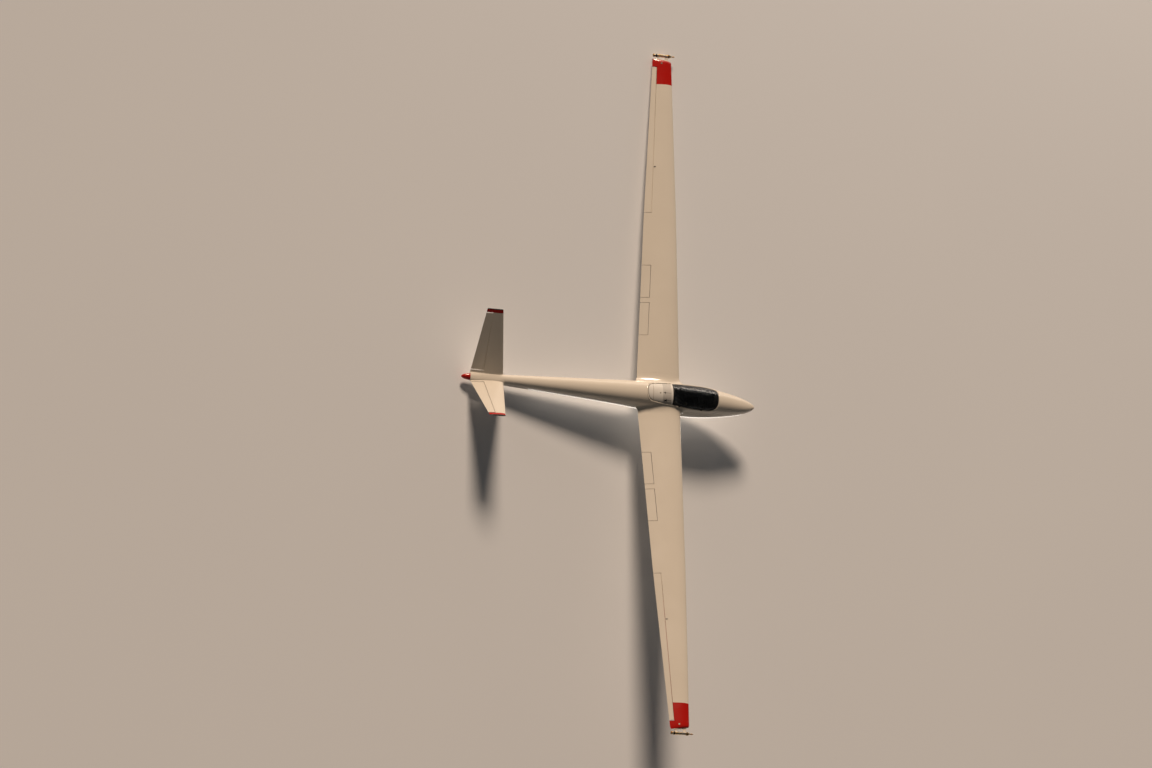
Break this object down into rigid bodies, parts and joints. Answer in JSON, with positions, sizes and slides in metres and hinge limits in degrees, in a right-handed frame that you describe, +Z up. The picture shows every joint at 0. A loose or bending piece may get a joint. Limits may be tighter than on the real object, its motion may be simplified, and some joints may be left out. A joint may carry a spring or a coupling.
{
  "type": "single-seat v-tail aerobatic sailplane",
  "caption": "White glass-fibre sailplane with red tips, V-tail, turning airbrake flaps, side-hinged canopy, rear hatch and wing-tip smoke tubes, parked on wheel, tail skid and left wing tip",
  "frame": {"origin": "On the ground, under the middle of the parked aircraft's box", "axes": "+Z up from the ground, +X towards the nose along the ground, +Y to the left wing"},
  "size_m": [5.8584, 13.737, 1.8265],
  "materials": {
    "white_gelcoat": "gloss",
    "red_gelcoat": "gloss",
    "black_rubber": "matt",
    "tyre": "matt",
    "rim_alloy": "satin",
    "gear_steel": "satin",
    "tube_steel": "satin, heat tinted",
    "grey_paint": "satin",
    "black_plastic": "matt",
    "seat_fabric": "woven",
    "canopy_clear": "gloss"
  },
  "bodies": {
    "airframe": {"fuselage": "white_gelcoat", "wing_left": "white_gelcoat", "wing_right": "white_gelcoat", "wing_tip_left": "red_gelcoat", "wing_tip_right": "red_gelcoat", "tip_skid_left": "black_rubber", "tip_skid_right": "black_rubber", "smoke_tube_left": "tube_steel", "smoke_tube_right": "tube_steel", "smoke_bracket_left": "white_gelcoat", "smoke_bracket_right": "white_gelcoat", "tail_fin_left": "white_gelcoat", "tail_fin_right": "white_gelcoat", "tail_tip_left": "red_gelcoat", "tail_tip_right": "red_gelcoat", "tail_cone": "red_gelcoat", "tail_skid": "black_rubber", "tail_skid_sole": "gear_steel", "wheel_well": "grey_paint", "wheel_fork": "grey_paint", "wheel_axle": "gear_steel", "wheel_brake": "gear_steel", "tow_hook": "gear_steel", "canopy_hinge_pin": "gear_steel", "hatch_hinge_pin": "gear_steel", "bay_floor": "grey_paint", "cockpit_floor": "grey_paint", "seat_pan": "grey_paint", "seat_cushion": "seat_fabric", "back_cushion": "seat_fabric", "headrest": "seat_fabric", "instrument_panel": "black_plastic", "control_stick": "black_plastic", "rudder_pedals": "rim_alloy", "side_console_left": "grey_paint", "side_console_right": "grey_paint", "airbrake_lever": "black_plastic"},
    "main_wheel": {"main_tyre": "tyre", "main_wheel_rim": "rim_alloy"},
    "aileron_left": {"aileron_left": "white_gelcoat"},
    "aileron_right": {"aileron_right": "white_gelcoat"},
    "airbrake_left_inner": {"airbrake_left_inner": "white_gelcoat"},
    "airbrake_left_outer": {"airbrake_left_outer": "white_gelcoat"},
    "airbrake_right_inner": {"airbrake_right_inner": "white_gelcoat"},
    "airbrake_right_outer": {"airbrake_right_outer": "white_gelcoat"},
    "ruddervator_left": {"ruddervator_left": "white_gelcoat"},
    "ruddervator_right": {"ruddervator_right": "white_gelcoat"},
    "canopy": {"canopy_frame": "black_plastic", "canopy_glass": "canopy_clear"},
    "hatch": {"hatch": "white_gelcoat"}
  },
  "joints": [
    {"name": "main_wheel_spin", "type": "hinge", "parent": "airframe", "child": "main_wheel", "pos_m": [1.33274, -0.1015, 0.14907], "axis": [0.0192, 0.9924, -0.1217], "continuous": true},
    {"name": "aileron_left_hinge", "type": "hinge", "parent": "airframe", "child": "aileron_left", "pos_m": [0.89139, 3.61794, 0.29413], "axis": [0.0567, 0.9965, -0.0607], "range_deg": [-20, 20]},
    {"name": "airbrake_left_inner_hinge", "type": "hinge", "parent": "airframe", "child": "airbrake_left_inner", "pos_m": [0.69887, 1.14423, 0.42914], "axis": [0.0605, 0.9964, -0.0585], "range_deg": [0, 80]},
    {"name": "airbrake_left_outer_hinge", "type": "hinge", "parent": "airframe", "child": "airbrake_left_outer", "pos_m": [0.74471, 1.8987, 0.38484], "axis": [0.0605, 0.9964, -0.0585], "range_deg": [0, 80]},
    {"name": "ruddervator_left_hinge", "type": "hinge", "parent": "airframe", "child": "ruddervator_left", "pos_m": [-2.53643, 0.11306, 0.22631], "axis": [-0.0697, 0.8469, 0.5272], "range_deg": [-25, 25]},
    {"name": "aileron_right_hinge", "type": "hinge", "parent": "airframe", "child": "aileron_right", "pos_m": [0.75076, -3.65623, 1.18603], "axis": [-0.0184, 0.9831, -0.182], "range_deg": [-20, 20]},
    {"name": "airbrake_right_inner_hinge", "type": "hinge", "parent": "airframe", "child": "airbrake_right_inner", "pos_m": [0.65321, -1.21765, 0.71874], "axis": [-0.0223, 0.9826, -0.1841], "range_deg": [0, 80]},
    {"name": "airbrake_right_outer_hinge", "type": "hinge", "parent": "airframe", "child": "airbrake_right_outer", "pos_m": [0.67008, -1.96167, 0.85817], "axis": [-0.0223, 0.9826, -0.1841], "range_deg": [0, 80]},
    {"name": "ruddervator_right_hinge", "type": "hinge", "parent": "airframe", "child": "ruddervator_right", "pos_m": [-2.54139, -0.14356, 0.25778], "axis": [0.0995, 0.6912, -0.7158], "range_deg": [-25, 25]},
    {"name": "canopy_hinge", "type": "hinge", "parent": "airframe", "child": "canopy", "pos_m": [1.29732, -0.25615, 0.75894], "axis": [0.9985, -0.0447, 0.0301], "range_deg": [0, 80]},
    {"name": "hatch_hinge", "type": "hinge", "parent": "airframe", "child": "hatch", "pos_m": [0.82132, 0.16027, 0.69594], "axis": [-0.9958, -0.0903, -0.0135], "range_deg": [0, 75]}
  ],
  "couplings": [
    {"joint": "aileron_right_hinge", "follows": "aileron_left_hinge", "ratio": -1},
    {"joint": "airbrake_left_outer_hinge", "follows": "airbrake_left_inner_hinge", "ratio": 1},
    {"joint": "airbrake_right_inner_hinge", "follows": "airbrake_left_inner_hinge", "ratio": 1},
    {"joint": "airbrake_right_outer_hinge", "follows": "airbrake_left_inner_hinge", "ratio": 1}
  ]
}
